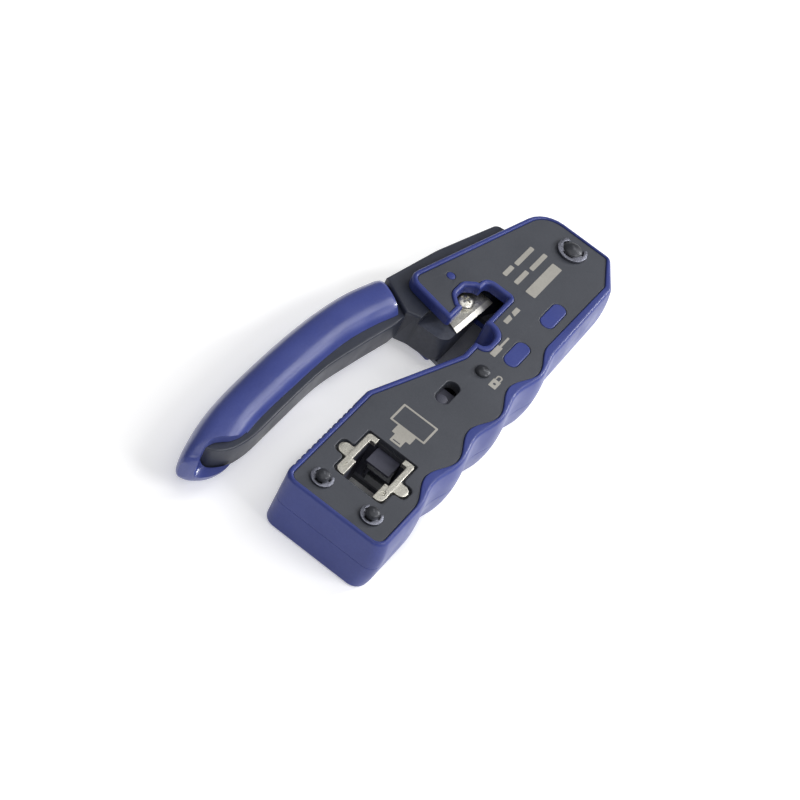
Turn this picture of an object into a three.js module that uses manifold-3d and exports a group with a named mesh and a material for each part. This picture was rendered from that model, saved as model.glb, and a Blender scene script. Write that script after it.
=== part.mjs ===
// Compact crimping tool for eight-way modular plugs, as an assembly of its separate pieces.
// Millimetres. +X runs from the crimping pocket to the handle pivot, +Y points to the moving
// handle, +Z points out of the front face. Z = 0 is the back face, X = Y = 0 the pocket's middle.
import * as THREE from "three";
import { mergeVertices } from "three/addons/utils/BufferGeometryUtils.js";
import Module from "manifold-3d";

const wasm = await Module();
wasm.setup();

// ---------------------------------------------------------------- driving dimensions

const THICKNESS = 19.6; // back face to the raised rim of the front face
const MID = THICKNESS / 2;
const RIM = 1.6; // width of the soft rim around the face plate
const END_RIM = 1.2; // the same at the two ends of the body
const PLATE_TOP = THICKNESS - 0.4; // the face plate sits a little below its rim
const PLATE = 1.6;
const WALL = 1.3; // hard wall behind the soft skin
const STEEL = 1.2; // each stamped frame plate
const GAP = 0.1; // between fixed neighbours
const CLEAR = 0.3; // between moving neighbours

const NEAR_X = -23.1; // pocket end of the body
const FAR_X = 119.6; // pivot end of the body
const HALF_WIDTH = 15.9;
const SCALLOP_PITCH = 22.4; // one finger
const SCALLOP_CREST_X = 40;

const PIVOT = { x: 111.8, y: 2.6, r: 3 };
const DIE_PIN = { x: -16, y: 8, r: 1.85 };
const COVER_SCREW = { x: 49.9, y: -3, r: 1.2, headR: 2.2 };
const LOCK = { x: 33, travel: 5.2, r: 1.8, slotR: 2.2 };

const PLUG_HALF = 5.9; // half the width of the plug's body, with clearance
const LATCH_HALF = 4.7;
const POCKET = { low: -10.4, shoulder: -4, high: 7, hook: 4.95, hookHalf: 4.25 };
const PUNCH = { x: 6.8, length: 1.8, half: 3.75, low: 4.4, top: 15.1 };
const TRIMMER = { x: 1.2, top: 15.9 }; // flat blade over the nose of the plug
const CONTACTS = 8;
const CONTACT_PITCH = 1.02;

const BLADE = { low: 13.3, thick: 0.6, edge: [61.8, 10.85, 80.6, 9.65], width: 9 };
const BLADE_SCREW = { x: 72.8, y: 15.4, headR: 2.75, head: 1.9, r: 1.5 };

const ARM_LOW = 3.6;
const ARM_TOP = THICKNESS - ARM_LOW;
const CRANK = { x: 104.5, y: 12.5, r: 1.5 }; // where the link hangs on the arm
const BAR_END = { x: 88, y: -3.9, r: 1.5 }; // where the link drives the bar
const LINK = { low: 8.4, top: 11.4, r: 3 };
const BAR = { low: 4.6, top: 8.1, y: -3.9, half: 3.1 };
const SPRING = { x0: 10.8, x1: 24, y: 6.4, z: 6.35, r: 1.7, wire: 0.35, turns: 7 };

const COLOURS = {
  skin: [0x50549f, 0.45, 0],
  shell: [0x4c5059, 0.6, 0],
  arm: [0x45484f, 0.5, 0],
  steel: [0x8d9096, 0.4, 0.9],
  silver: [0xd7d7cd, 0.3, 0.9],
  black: [0x33353b, 0.45, 0.4],
};

// ---------------------------------------------------------------- outlines

// Corners are [x, y, fillet radius], listed anticlockwise. Fillets that would meet are made smaller.
function filleted(corners, perQuarter = 4) {
  const count = corners.length;
  const at = corners.map(([x, y]) => new THREE.Vector2(x, y));
  const edges = at.map((p, i) => at[(i + 1) % count].clone().sub(p));
  const turns = edges.map((edge, i) => {
    const before = edges[(i + count - 1) % count];
    return Math.atan2(before.cross(edge), before.dot(edge));
  });
  const wanted = corners.map(([, , r = 0], i) => r * Math.tan(Math.abs(turns[i]) / 2));
  const share = edges.map((edge, i) => {
    const sum = wanted[i] + wanted[(i + 1) % count];
    return sum > 0 ? Math.min(1, (0.98 * edge.length()) / sum) : 1;
  });
  const points = [];
  corners.forEach((corner, i) => {
    const turn = turns[i];
    const reach = wanted[i] * Math.min(share[i], share[(i + count - 1) % count]);
    if (reach < 0.02 || Math.abs(turn) < 0.05) {
      points.push(at[i]);
      return;
    }
    const before = edges[(i + count - 1) % count].clone().normalize();
    const start = at[i].clone().addScaledVector(before, -reach);
    const radius = reach / Math.tan(Math.abs(turn) / 2);
    const side = new THREE.Vector2(-before.y, before.x).multiplyScalar(Math.sign(turn) * radius);
    const centre = start.clone().add(side);
    const steps = Math.max(2, Math.round((perQuarter * Math.abs(turn)) / (Math.PI / 2)));
    for (let k = 0; k <= steps; k += 1) {
      points.push(start.clone().rotateAround(centre, (turn * k) / steps));
    }
  });
  return points;
}

// The same corners with every edge moved inwards; fillets stay concentric.
function inset(corners, distance) {
  return corners.map(([x, y, r], i) => {
    const before = corners[(i + corners.length - 1) % corners.length];
    const after = corners[(i + 1) % corners.length];
    const e1 = new THREE.Vector2(x - before[0], y - before[1]).normalize();
    const e2 = new THREE.Vector2(after[0] - x, after[1] - y).normalize();
    const shift = distance / (1 + e1.dot(e2));
    const radius = r ? Math.max(0.15, r - Math.sign(e1.cross(e2)) * distance) : 0;
    return [x - (e1.y + e2.y) * shift, y + (e1.x + e2.x) * shift, radius];
  });
}

// Finger side: a wave between the valleys and the crests, then a straight run to the pivot end.
function fingerEdge(crest, valley) {
  const corners = [];
  const first = SCALLOP_CREST_X - 2 * SCALLOP_PITCH;
  const steps = 28;
  for (let i = 0; i <= steps; i += 1) {
    const x = first + (i * 3.5 * SCALLOP_PITCH) / steps;
    const wave = Math.cos((2 * Math.PI * (x - SCALLOP_CREST_X)) / SCALLOP_PITCH);
    corners.push([x, (crest + valley) / 2 + ((crest - valley) / 2) * wave, 0]);
  }
  return corners;
}

// Edges of the notch that the cable goes in, from the head's corner round to the waist.
const NOTCH = [
  [58.6, 13.7, 1],
  [66, 13.7, 0.6],
  [66, 15.2, 1],
  [68.4, 17.6, 2],
  [73.4, 17.6, 2],
  [75.8, 15.2, 1.5],
  [75.8, 13.7, 0.6],
  [80.1, 13.7, 1.8],
  [80.1, 6.1, 0.6],
  [66.3, 6.1, 0.5],
  [66.3, 1, 4.1],
  [57.7, 1, 2.8],
  [57.7, 4.3, 0.6],
  [50.7, 4.3, 4],
];

// Whole body at one level; bulge 0 is the rim, 1 the widest line at mid thickness.
function bodyCorners(bulge) {
  const crest = -16.1 - 1.1 * bulge;
  const valley = -14.4 - 0.9 * bulge;
  return [
    [NEAR_X, crest, 3.8],
    ...fingerEdge(crest, valley),
    [108.4, -13.8 - 1.1 * bulge, 3],
    [FAR_X, -7.2 - 0.8 * bulge, 2.6],
    [FAR_X, 17.1, 9.5],
    [62.4, 31.6, 4.2],
    ...NOTCH,
    [18.2, HALF_WIDTH, 3],
    [NEAR_X, HALF_WIDTH, 3.8],
  ];
}

// The face plate, inside the rim.
function plateCorners() {
  const inside = inset(bodyCorners(0), RIM).slice(1 + 29);
  const [besideEnd, chamferTop, farHead] = inside;
  besideEnd[1] = -11.7;
  chamferTop[0] = FAR_X - END_RIM;
  farHead[0] = FAR_X - END_RIM;
  return [
    [NEAR_X + END_RIM, -14.8, 2.6],
    ...fingerEdge(-14.8, -11.3),
    ...inside.slice(0, -1),
    [NEAR_X + END_RIM, HALF_WIDTH - RIM, 2.4],
  ];
}

// Room inside the hard walls of both halves; the frame plates fill its outline.
function cavityCorners() {
  const wall = END_RIM + WALL + 0.1;
  return [
    [NEAR_X + wall, -13.4, 2],
    ...fingerEdge(-13.4, -9.9),
    [107.4, -10.2, 2],
    [FAR_X - wall, -4.3, 2],
    [FAR_X - wall, 14.8, 6],
    [65.4, 28.3, 2],
    [62.6, 16.8, 0.5],
    [64, 16.8, 1],
    [67.1, 20.7, 1],
    [74.9, 20.7, 1],
    [78.5, 16.7, 1],
    [83.2, 16.7, 2],
    [83.2, 3.2, 1],
    [69.2, 3.2, 0.5],
    [69.2, -1.9, 3],
    [54.9, -1.9, 2],
    [54.9, 1.4, 0.5],
    [50, 1.4, 3],
    [17.6, 12.9, 2],
    [NEAR_X + wall, 12.9, 2],
  ];
}

function circle(x, y, r, count = 20) {
  const points = [];
  for (let i = 0; i < count; i += 1) {
    const a = (2 * Math.PI * i) / count;
    points.push(new THREE.Vector2(x + r * Math.cos(a), y + r * Math.sin(a)));
  }
  return points;
}

// Two round ends joined by straight sides.
function obround(x0, y0, x1, y1, r0, r1 = r0, count = 8) {
  const points = [];
  const along = Math.atan2(y1 - y0, x1 - x0);
  for (let i = 0; i <= count; i += 1) {
    const a = along - Math.PI / 2 + (Math.PI * i) / count;
    points.push(new THREE.Vector2(x1 + r1 * Math.cos(a), y1 + r1 * Math.sin(a)));
  }
  for (let i = 0; i <= count; i += 1) {
    const a = along + Math.PI / 2 + (Math.PI * i) / count;
    points.push(new THREE.Vector2(x0 + r0 * Math.cos(a), y0 + r0 * Math.sin(a)));
  }
  return points;
}

const rectangle = (x0, y0, x1, y1) => filleted([[x0, y0], [x1, y0], [x1, y1], [x0, y1]]);

// ---------------------------------------------------------------- solids

function prism(points, low, top, holes = []) {
  const shape = new THREE.Shape(points);
  shape.holes = holes.map((hole) => new THREE.Path(hole));
  const depth = top - low;
  return new THREE.ExtrudeGeometry(shape, { depth, bevelEnabled: false }).translate(0, 0, low);
}

// Closed body through rings of the same number of points, in order along the loft.
function loft(rings) {
  const count = rings[0].length;
  const positions = rings.flat().flatMap((p) => [p.x, p.y, p.z]);
  const index = [];
  for (let r = 0; r + 1 < rings.length; r += 1) {
    for (let i = 0; i < count; i += 1) {
      const a = r * count + i;
      const b = r * count + ((i + 1) % count);
      index.push(a, b, b + count, a, b + count, a + count);
    }
  }
  const cap = (ring, offset, flip) => {
    const centre = new THREE.Vector3();
    const normal = new THREE.Vector3();
    ring.forEach((p, i) => {
      const q = ring[(i + 1) % count];
      centre.addScaledVector(p, 1 / count);
      normal.add(new THREE.Vector3().crossVectors(p, q));
    });
    const turn = new THREE.Quaternion().setFromUnitVectors(
      normal.normalize(),
      new THREE.Vector3(0, 0, 1),
    );
    const flat = ring.map((p) => {
      const q = p.clone().sub(centre).applyQuaternion(turn);
      return new THREE.Vector2(q.x, q.y);
    });
    THREE.ShapeUtils.triangulateShape(flat, []).forEach(([a, b, c]) => {
      index.push(offset + a, offset + (flip ? c : b), offset + (flip ? b : c));
    });
  };
  cap(rings[0], 0, true);
  cap(rings[rings.length - 1], (rings.length - 1) * count, false);
  const geometry = new THREE.BufferGeometry();
  geometry.setAttribute("position", new THREE.Float32BufferAttribute(positions, 3));
  geometry.setIndex(index);
  return geometry;
}

function toSolid(geometry) {
  const plain = new THREE.BufferGeometry();
  plain.setAttribute("position", geometry.getAttribute("position"));
  plain.setIndex(geometry.index);
  const welded = mergeVertices(plain, 1e-5);
  const mesh = new wasm.Mesh({
    numProp: 3,
    vertProperties: new Float32Array(welded.getAttribute("position").array),
    triVerts: new Uint32Array(welded.index.array),
  });
  return new wasm.Manifold(mesh);
}

function fromSolid(solid) {
  const mesh = solid.getMesh();
  const geometry = new THREE.BufferGeometry();
  geometry.setAttribute("position", new THREE.BufferAttribute(mesh.vertProperties, 3));
  geometry.setIndex(new THREE.BufferAttribute(mesh.triVerts, 1));
  return geometry;
}

function join(...geometries) {
  return fromSolid(geometries.map(toSolid).reduce((a, b) => a.add(b)));
}

function cut(geometry, ...tools) {
  return fromSolid(tools.map(toSolid).reduce((a, b) => a.subtract(b), toSolid(geometry)));
}

function lathe(x, y, profile, count = 24) {
  const points = profile.map(([r, z]) => new THREE.Vector2(r, z));
  return new THREE.LatheGeometry(points, count).rotateX(Math.PI / 2).translate(x, y, 0);
}

const hole = (x, y, r, low = -1, top = THICKNESS + 2) => prism(circle(x, y, r), low, top);

// The mirror image through mid thickness, for the back half.
function turnedOver(geometry) {
  const flipped = geometry.clone().scale(1, 1, -1).translate(0, 0, THICKNESS);
  const index = Array.from(flipped.index.array);
  for (let i = 0; i < index.length; i += 3) {
    [index[i], index[i + 1]] = [index[i + 1], index[i]];
  }
  flipped.setIndex(index);
  return flipped;
}

// ---------------------------------------------------------------- body halves

// Room between the halves for the moving arm, open on the handle side of the head.
function armWindow(grow = 0) {
  const outline = [
    [51.5, 5.4 - grow],
    [58, 5.4 - grow],
    [58, 6.4 - grow],
    [80, 6.4 - grow],
    [107.5, 6.4],
    [107.5, 40],
    [51.5, 40],
  ];
  return prism(filleted(outline), ARM_LOW - CLEAR, ARM_TOP + CLEAR);
}

function plugOpening(grow = 0) {
  const { low, shoulder, high } = POCKET;
  return filleted([
    [low - grow, -LATCH_HALF - grow],
    [shoulder - grow, -LATCH_HALF - grow],
    [shoulder - grow, -PLUG_HALF - grow],
    [high + grow, -PLUG_HALF - grow],
    [high + grow, PLUG_HALF + grow],
    [shoulder - grow, PLUG_HALF + grow],
    [shoulder - grow, LATCH_HALF + grow],
    [low - grow, LATCH_HALF + grow],
  ]);
}

// One die plate in plan; the other is its mirror image.
function diePlateCorners() {
  return [
    [POCKET.low, LATCH_HALF - 0.05, 0.2],
    [POCKET.shoulder, LATCH_HALF - 0.05, 0.2],
    [POCKET.shoulder, PLUG_HALF, 0.2],
    [POCKET.hook, PLUG_HALF, 0.2],
    [POCKET.hook, POCKET.hookHalf, 0.2],
    [POCKET.high, POCKET.hookHalf, 0.4],
    [POCKET.high, 7.7, 1.1],
    [-0.45, 7.7, 0.4],
    [-0.45, 11.2, 2.1],
    [-4.75, 11.2, 2.1],
    [-4.75, 7.7, 0.4],
    [POCKET.low, 7.7, 1.9],
  ];
}

const mirroredY = (corners) => corners.map(([x, y, r]) => [x, -y, r]).reverse();

// The opening in the face plate that both die plates and the plug share.
function faceOpening() {
  const plate = inset(diePlateCorners(), -0.45);
  const middle = prism(rectangle(POCKET.low - 0.2, -6, POCKET.high, 6), 0, THICKNESS + 1);
  const left = prism(filleted(plate), 0, THICKNESS + 1);
  const right = prism(filleted(mirroredY(plate)), 0, THICKNESS + 1);
  return join(middle, left, right);
}

const SPOTS = [
  obround(81.6, -6.55, 88.2, -6.55, 2.4),
  obround(60.4, -6.6, 66.7, -6.6, 2.4),
  circle(73.2, 22.6, 1.4, 16),
];

// Fine grooves across the handle side of the pocket end.
function gripGrooves() {
  const grooves = [];
  for (let i = 0; i < 12; i += 1) {
    const x = -17.2 + i * 2.5;
    const mouth = HALF_WIDTH + 0.1;
    const groove = [[x - 0.8, mouth], [x - 0.3, mouth - 0.7], [x + 0.3, mouth - 0.7], [x + 0.8, mouth]];
    grooves.push(prism(filleted(groove), MID + 1, THICKNESS - 0.7));
  }
  return grooves;
}

function skinHalf() {
  const levels = [
    [MID + GAP / 2, 1, 0],
    [MID + 5, 0.75, 0],
    [THICKNESS - 0.4, 0, 0],
    [THICKNESS, 0, 0.42],
  ];
  const rings = levels.map(([z, bulge, in_]) =>
    filleted(inset(bodyCorners(bulge), in_)).map((p) => new THREE.Vector3(p.x, p.y, z)),
  );
  const inner = prism(filleted(plateCorners()), 0, THICKNESS + 1);
  return cut(loft(rings), inner, armWindow(), ...gripGrooves());
}

function shellHalf(plateTop, features) {
  const edge = inset(plateCorners(), 0.05);
  const outer = prism(filleted(edge), MID + GAP / 2, plateTop);
  const hollow = prism(filleted(cavityCorners()), MID - 1, plateTop - PLATE);
  return cut(outer, hollow, armWindow(1.2), ...features);
}

function frontShell() {
  const { x, travel, slotR } = LOCK;
  return shellHalf(PLATE_TOP, [
    faceOpening(),
    prism(obround(x, 0, x + travel, 0, slotR), 0, THICKNESS + 1),
    hole(DIE_PIN.x, DIE_PIN.y, DIE_PIN.r + GAP),
    hole(DIE_PIN.x, -DIE_PIN.y, DIE_PIN.r + GAP),
    hole(COVER_SCREW.x, COVER_SCREW.y, COVER_SCREW.r + GAP),
    hole(PIVOT.x, PIVOT.y, PIVOT.r + GAP),
    ...SPOTS.map((spot) => prism(spot, 0, THICKNESS + 1)),
  ]);
}

function backShell() {
  const front = shellHalf(THICKNESS, [
    prism(plugOpening(0.3), 0, THICKNESS + 1),
    hole(DIE_PIN.x, DIE_PIN.y, 3.1),
    hole(DIE_PIN.x, -DIE_PIN.y, 3.1),
    hole(PIVOT.x, PIVOT.y, 4.6),
  ]);
  return cut(turnedOver(front), anvil(GAP));
}

function framePlate(low, extra = []) {
  const outline = filleted(inset(cavityCorners(), 0.15));
  return cut(
    prism(outline, low, low + STEEL),
    prism(plugOpening(0.2), 0, THICKNESS),
    hole(DIE_PIN.x, DIE_PIN.y, DIE_PIN.r + GAP),
    hole(DIE_PIN.x, -DIE_PIN.y, DIE_PIN.r + GAP),
    hole(COVER_SCREW.x, COVER_SCREW.y, COVER_SCREW.r + GAP),
    hole(PIVOT.x, PIVOT.y, PIVOT.r + GAP),
    ...extra,
  );
}

// The back frame plate also closes the notch, as the anvil below the blade.
function anvil(grow = 0) {
  const outline = [[57, 0, 0.5], [80.6, 0, 0.5], [80.6, 18.3, 2], [64, 18.3, 2], [59, 14.4, 0.5], [57, 4, 0.5]];
  const points = filleted(inset(outline, -grow));
  return prism(points, FRAME_BACK - grow, FRAME_BACK + STEEL + grow);
}

// ---------------------------------------------------------------- pocket

const FRAME_FRONT = PLATE_TOP - PLATE - GAP - STEEL;
const FRAME_BACK = PLATE + GAP;
const INSIDE_LOW = FRAME_BACK + STEEL + GAP;
const INSIDE_TOP = FRAME_FRONT - GAP;

function diePlate(side) {
  const corners = inset(diePlateCorners(), 0.05);
  const outline = side > 0 ? corners : mirroredY(corners);
  return prism(filleted(outline, 4), FRAME_FRONT + STEEL + GAP, PLATE_TOP - 0.15);
}

function plugNest() {
  const block = prism(rectangle(-13.4, -9.6, 10.6, 9.6), INSIDE_LOW, INSIDE_TOP);
  const channel = prism(rectangle(0, -PUNCH.half - CLEAR, 14, PUNCH.half + CLEAR), 0, THICKNESS);
  return cut(block, prism(plugOpening(0.2), 0, THICKNESS), channel);
}

// ---------------------------------------------------------------- drive

function punchBlock() {
  const { x, length, half, low, top } = PUNCH;
  return prism(rectangle(x, -half, x + length, half), low, top);
}

// Thin flat blade on top of the block; it trims the conductors that stand out of the plug's nose.
function trimmingBlade() {
  const { x, length, half, top } = PUNCH;
  return prism(rectangle(TRIMMER.x, -half, x + length, half), top + GAP, TRIMMER.top);
}

// A comb of thin fingers that presses the contacts, on the pocket side of the block.
function contactComb() {
  const { x } = PUNCH;
  const half = PUNCH.half - 0.1;
  const spine = prism(rectangle(x - 0.4, -half, x - 0.1, half), 8, 14.6);
  const fingers = [];
  for (let i = 0; i < CONTACTS; i += 1) {
    const y = (i - (CONTACTS - 1) / 2) * CONTACT_PITCH;
    fingers.push(prism(rectangle(x - 1.7, y - 0.2, x - 0.3, y + 0.2), 10, 14));
  }
  return join(spine, ...fingers);
}

function cordPresser() {
  const { x } = PUNCH;
  return prism(rectangle(x - 1.5, -2.6, x - 0.1, 2.6), 4.6, 7);
}

function driveBar() {
  const { low, top, y, half } = BAR;
  const start = PUNCH.x + PUNCH.length + GAP;
  const bar = prism(
    filleted([
      [start, -PUNCH.half, 0.3],
      [12.8, -PUNCH.half, 0.3],
      [14.8, y - half, 0.5],
      [BAR_END.x, y - half, 3],
      [BAR_END.x + 3.1, y, 2.4],
      [BAR_END.x, y + half, 3],
      [73, y + half, 0.8],
      [72, -2.2, 0.8],
      [54.4, -2.2, 0.4],
      [54.4, y + half, 0.6],
      [SPRING.x1 + 2.8, y + half, 1],
      [SPRING.x1 + 2.8, 8.6, 0.8],
      [SPRING.x1 + 0.05, 8.6, 0.8],
      [SPRING.x1 + 0.05, y + half, 1],
      [14.8, y + half, 0.3],
      [12.8, PUNCH.half, 0.3],
      [start, PUNCH.half, 0.3],
    ]),
    low,
    top,
  );
  const guide = obround(COVER_SCREW.x - 0.4, COVER_SCREW.y, COVER_SCREW.x + 2.4, COVER_SCREW.y, 1.35);
  return cut(bar, prism(guide, 0, THICKNESS), hole(BAR_END.x, BAR_END.y, BAR_END.r + 0.02));
}

function driveLink() {
  const { low, top, r } = LINK;
  const plate = prism(obround(BAR_END.x, BAR_END.y, CRANK.x, CRANK.y, r), low, top);
  return cut(plate, hole(CRANK.x, CRANK.y, CRANK.r + 0.05), hole(BAR_END.x, BAR_END.y, BAR_END.r + 0.25));
}

function crankPin() {
  return prism(circle(CRANK.x, CRANK.y, CRANK.r, 16), ARM_LOW + 1, ARM_TOP - 1);
}

function barPin() {
  return prism(circle(BAR_END.x, BAR_END.y, BAR_END.r, 16), BAR.low, LINK.top + 0.4);
}

class Helix extends THREE.Curve {
  getPoint(t, target = new THREE.Vector3()) {
    const { x0, x1, y, z, r, wire, turns } = SPRING;
    const angle = 2 * Math.PI * turns * t;
    const x = THREE.MathUtils.lerp(x0 + wire, x1 - wire, t);
    return target.set(x, y + r * Math.cos(angle), z + r * Math.sin(angle));
  }
}

function returnSpring() {
  const wire = new THREE.Shape(circle(0, 0, SPRING.wire, 5));
  const steps = SPRING.turns * 10;
  return new THREE.ExtrudeGeometry(wire, { steps, extrudePath: new Helix(), bevelEnabled: false });
}

function lockSlider() {
  const { x, r } = LOCK;
  const shoe = prism(rectangle(x - 3.4, -2.6, x + 6, 2.6), 13, 16.1);
  const stem = prism(circle(x, 0, r, 20), 15, PLATE_TOP - 0.7);
  const boss = prism(circle(x, 0, r - 0.3, 20), 15, PLATE_TOP - 0.5);
  return join(shoe, stem, boss);
}

// ---------------------------------------------------------------- handle

// Inner edge of the grip's hard core, from the pivot side to the free end.
const CORE_INNER = [
  [50, 24.6],
  [34.4, 27.4],
  [19.3, 29.5],
  [0, 29.6],
  [-12, 29.5],
  [-18, 30.1],
  [-22.5, 31.4],
  [-26, 33.8],
  [-27.2, 36.4],
];

function spline(points, count) {
  const curve = new THREE.SplineCurve(points.map(([x, y]) => new THREE.Vector2(x, y)));
  return curve.getPoints(count);
}

function handleArm() {
  const { x, y } = PIVOT;
  const eye = 4.7;
  const arm = prism(
    filleted([
      [56.2, 11, 3.5],
      [66, 11, 0],
      [82, 11.4, 3],
      [97, 5.6, 6],
      [106.6, -2.1, 3],
      [x, y - eye, 0],
      [x + eye, y - eye, 4.6],
      [x + eye, y + eye, 4.6],
      [107, 16.6, 3],
      [105.8, 24.8, 2.4],
      [82, 31.6, 40],
      [60.6, 35.8, 0],
      [54.4, 24.8, 0],
      [55.7, 21, 4],
    ]),
    ARM_LOW,
    ARM_TOP,
  );
  const core = prism(
    [
      ...spline(CORE_INNER, 20).reverse(),
      ...[[58, 24.4], [62, 34.2], [46, 39.6], [28, 41.2], [8, 41.4], [-12, 40.8], [-22, 39.6]].map(
        ([px, py]) => new THREE.Vector2(px, py),
      ),
    ],
    5.6,
    THICKNESS - 5.6,
  );
  const swing = obround(BAR_END.x - 3, BAR_END.y, CRANK.x, CRANK.y, LINK.r + 2.4, LINK.r + 0.8);
  const linkSlot = prism(swing, LINK.low - CLEAR, LINK.top + CLEAR);
  const { low, thick } = BLADE;
  const seat = prism(filleted([[54, 8], [84, 6], [84, 20.6], [54, 20.6]]), low - GAP, THICKNESS);
  return cut(
    join(arm, core),
    linkSlot,
    seat,
    hole(x, y, PIVOT.r + 0.05),
    hole(CRANK.x, CRANK.y, CRANK.r + 0.02, ARM_LOW + 0.9, ARM_TOP - 0.9),
    hole(BLADE_SCREW.x, BLADE_SCREW.y, BLADE_SCREW.r + GAP, low - 6, low + thick),
  );
}

// Centre line of the sleeve as pairs: edge facing the body, outer edge, half height.
const SLEEVE = [
  [[52.6, 25.6], [59, 38], 7.2],
  [[50.8, 26.1], [56.6, 38.9], 7.6],
  [[44, 28.1], [46.4, 41.6], 7.6],
  [[34, 30.1], [35, 43.2], 7.6],
  [[23, 31], [23.4, 44], 7.6],
  [[10, 31.3], [10, 44.3], 7.6],
  [[-4, 31.4], [-5, 44.1], 7.6],
  [[-12, 31.1], [-15, 43.5], 7.6],
  [[-18, 30.4], [-21.4, 42.6], 7.4],
  [[-23.5, 30], [-26.6, 41.5], 7],
  [[-28, 31.2], [-30.8, 40.4], 6.2],
  [[-31.6, 33.7], [-33.6, 39.2], 4.8],
  [[-33.6, 35.8], [-34.5, 38.2], 3],
];

// Scoop in the sleeve's free end that leaves the end of the core bare.
const SCOOP = [
  [-34, 33.4, 0],
  [-31.6, 35.1, 1],
  [-28, 36.1, 2],
  [-24, 35.6, 2],
  [-19, 32.6, 2],
  [-15, 31.6, 0],
  [-15, 27, 0],
  [-34, 27, 0],
];

function sleeveRing([inner, outer, half]) {
  const a = new THREE.Vector2(...inner);
  const b = new THREE.Vector2(...outer);
  const middle = a.clone().add(b).multiplyScalar(0.5);
  const across = b.clone().sub(a).multiplyScalar(0.5);
  const ring = [];
  const count = 24;
  for (let i = 0; i < count; i += 1) {
    const angle = (2 * Math.PI * i) / count;
    const c = Math.cos(angle);
    const s = Math.sin(angle);
    const u = Math.sign(c) * Math.abs(c) ** 0.72;
    const v = Math.sign(s) * Math.abs(s) ** 0.72;
    ring.push(new THREE.Vector3(middle.x + across.x * u, middle.y + across.y * u, MID + half * v));
  }
  return ring;
}

function gripSleeve() {
  const core = prism(
    [
      ...spline(CORE_INNER.map(([x, y]) => [x - 0.3, y - 0.3]), 20).reverse(),
      ...[[62, 24], [64, 34.4], [46, 39.8], [28, 41.4], [8, 41.6], [-12, 41], [-22.2, 39.9], [-27.7, 36.7]]
        .map(([px, py]) => new THREE.Vector2(px, py)),
    ],
    5.4,
    THICKNESS - 5.4,
  );
  const rings = SLEEVE.map(sleeveRing).reverse();
  const arm = prism(
    filleted([[54.4, 12], [64, 12], [64, 36.4], [60.8, 36.1], [54.2, 24.6]]),
    ARM_LOW - 0.1,
    ARM_TOP + 0.1,
  );
  const scoop = prism(filleted([...SCOOP].reverse()), MID - 0.8, THICKNESS);
  return cut(loft(rings), core, arm, scoop);
}

function cuttingBlade() {
  const { low, thick, edge, width } = BLADE;
  const [x0, y0, x1, y1] = edge;
  const body = [[x0 + 0.4, y0 + 1.5], [x1, y1 + 1.5], [x1, y1 + width], [x0 + 3.4, y0 + width]];
  const blade = prism(filleted(body.map(([x, y]) => [x, y, 0])), low, low + thick);
  const bevel = [
    new THREE.Vector3(x0, y0, low),
    new THREE.Vector3(x0 + 0.4, y0 + 1.55, low),
    new THREE.Vector3(x0 + 0.4, y0 + 1.55, low + thick),
    new THREE.Vector3(x0, y0, low + 0.06),
  ];
  const shifted = bevel.map((p) => p.clone().add(new THREE.Vector3(x1 - p.x, y1 - y0, 0)));
  const solid = join(blade, loft([bevel, shifted]));
  return cut(solid, hole(BLADE_SCREW.x, BLADE_SCREW.y, BLADE_SCREW.r + GAP));
}

function panHeadScrew({ x, y, headR, head, r }, seat, length) {
  const solid = lathe(x, y, [
    [0, seat - length],
    [r, seat - length],
    [r, seat],
    [headR, seat],
    [headR, seat + head * 0.45],
    [headR * 0.82, seat + head * 0.85],
    [headR * 0.4, seat + head],
    [0, seat + head],
  ]);
  const slot = 0.4;
  const arm = headR * 0.55;
  const low = seat + head * 0.45;
  return cut(
    solid,
    prism(rectangle(x - arm, y - slot, x + arm, y + slot), low, seat + head + 1),
    prism(rectangle(x - slot, y - arm, x + slot, y + arm), low, seat + head + 1),
  );
}

// ---------------------------------------------------------------- pins and clips

function headedPin({ x, y, r }, headR, top, grooveR, clipLow, clip) {
  return lathe(x, y, [
    [0, 0.3],
    [headR, 0.3],
    [headR, PLATE],
    [r, PLATE],
    [r, clipLow - 0.05],
    [grooveR, clipLow - 0.05],
    [grooveR, clipLow + clip + 0.05],
    [r, clipLow + clip + 0.05],
    [r, top - 0.5],
    [r * 0.72, top - 0.12],
    [0, top],
  ]);
}

// Spring clip with its mouth towards the pivot end.
function gripClip({ x, y }, outerR, innerR, low, thick) {
  const outer = [];
  const inner = [];
  const mouth = 0.62;
  const steps = 22;
  for (let i = 0; i <= steps; i += 1) {
    const a = mouth + ((2 * Math.PI - 2 * mouth) * i) / steps;
    outer.push(new THREE.Vector2(x + outerR * Math.cos(a), y + outerR * Math.sin(a)));
    inner.push(new THREE.Vector2(x + innerR * Math.cos(a), y + innerR * Math.sin(a)));
  }
  return prism([...outer, ...inner.reverse()], low, low + thick);
}

function domedScrew() {
  const { x, y, r, headR } = COVER_SCREW;
  return lathe(x, y, [
    [0, FRAME_BACK + STEEL + 0.4],
    [r, FRAME_BACK + STEEL + 0.4],
    [r, PLATE_TOP + GAP],
    [headR, PLATE_TOP + GAP],
    [headR * 0.92, PLATE_TOP + 0.6],
    [headR * 0.6, PLATE_TOP + 1.05],
    [0, PLATE_TOP + 1.25],
  ]);
}

// ---------------------------------------------------------------- assembly

const tool = new THREE.Group();
tool.name = "crimping_tool";

function add(name, geometry, look) {
  const [color, roughness, metalness] = COLOURS[look];
  const flat = geometry.index ? geometry.toNonIndexed() : geometry;
  flat.computeVertexNormals();
  const material = new THREE.MeshStandardMaterial({ color, roughness, metalness });
  const mesh = new THREE.Mesh(flat, material);
  mesh.name = name;
  tool.add(mesh);
}

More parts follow.
